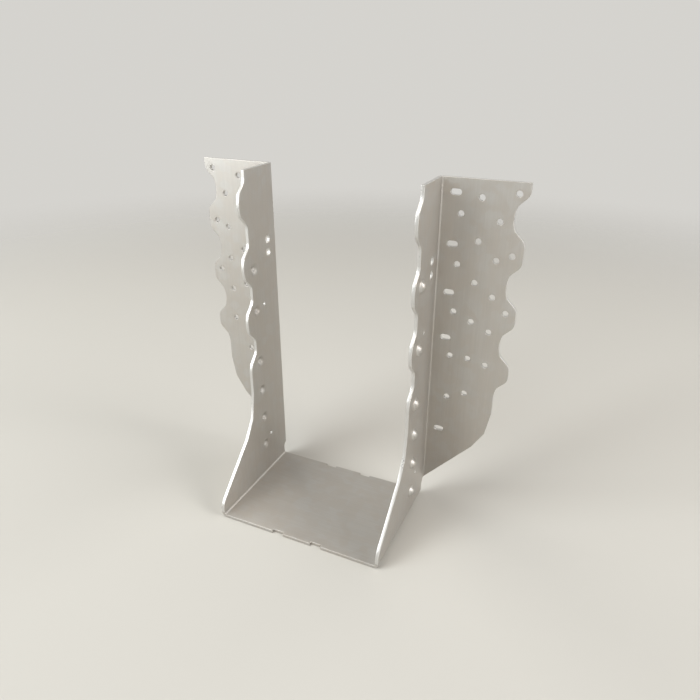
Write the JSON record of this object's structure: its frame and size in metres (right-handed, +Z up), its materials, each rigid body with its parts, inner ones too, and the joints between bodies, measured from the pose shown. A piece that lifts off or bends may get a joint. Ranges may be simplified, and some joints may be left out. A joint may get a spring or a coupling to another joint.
{
  "type": "joist hanger",
  "caption": "Face-mount joist hanger folded from one steel sheet: flat seat, two domed side plates and two scalloped header flanges with nail holes and slots.",
  "frame": {"origin": "under the middle of the overall box, on the underside of the seat", "axes": "+Z up along the side plates, +Y towards the header that the flanges are nailed to, X across the pocket"},
  "size_m": [0.2572, 0.102, 0.266],
  "materials": {
    "galvanised_sheet": "satin galvanised steel, with a faint spangle"
  },
  "bodies": {
    "root": {"hanger": "galvanised_sheet"}
  },
  "joints": []
}
